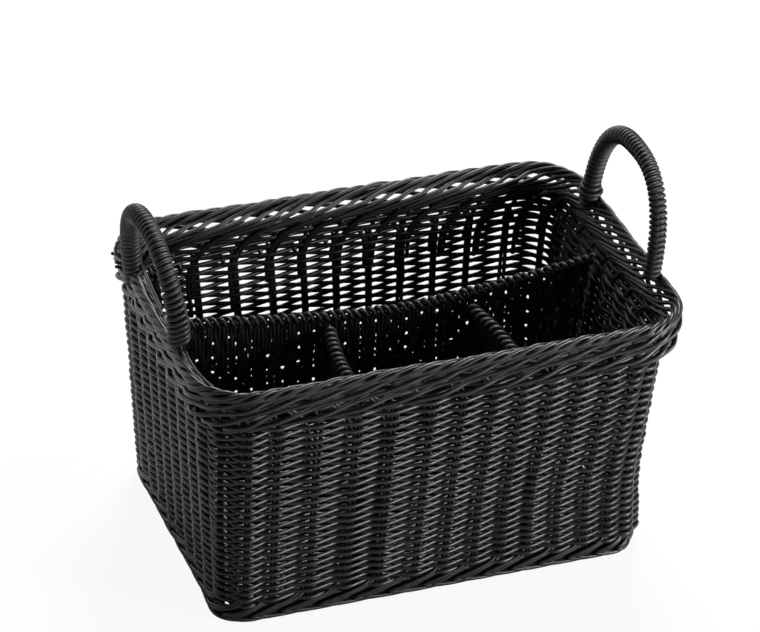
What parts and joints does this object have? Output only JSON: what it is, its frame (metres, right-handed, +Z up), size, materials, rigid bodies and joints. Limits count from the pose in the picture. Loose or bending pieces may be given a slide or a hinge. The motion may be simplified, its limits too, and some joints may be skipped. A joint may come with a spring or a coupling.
{
  "type": "woven cutlery basket",
  "caption": "Tapered rounded-rectangular basket woven of black plastic strand, with rolled rim, divided compartments for cutlery and napkins, and a fixed loop handle on each short side.",
  "frame": {"origin": "centre of the footprint on the surface that the basket stands on", "axes": "+X along the long side towards the right handle, +Y towards the long rear compartment, +Z up"},
  "size_m": [0.351, 0.233, 0.2555],
  "materials": {
    "strand": "satin extruded"
  },
  "bodies": {
    "root": {"side_wall": "strand", "top_border": "strand", "foot_border": "strand", "base_panel": "strand", "long_divider": "strand", "left_cross_divider": "strand", "right_cross_divider": "strand", "left_handle": "strand", "right_handle": "strand"}
  },
  "joints": []
}
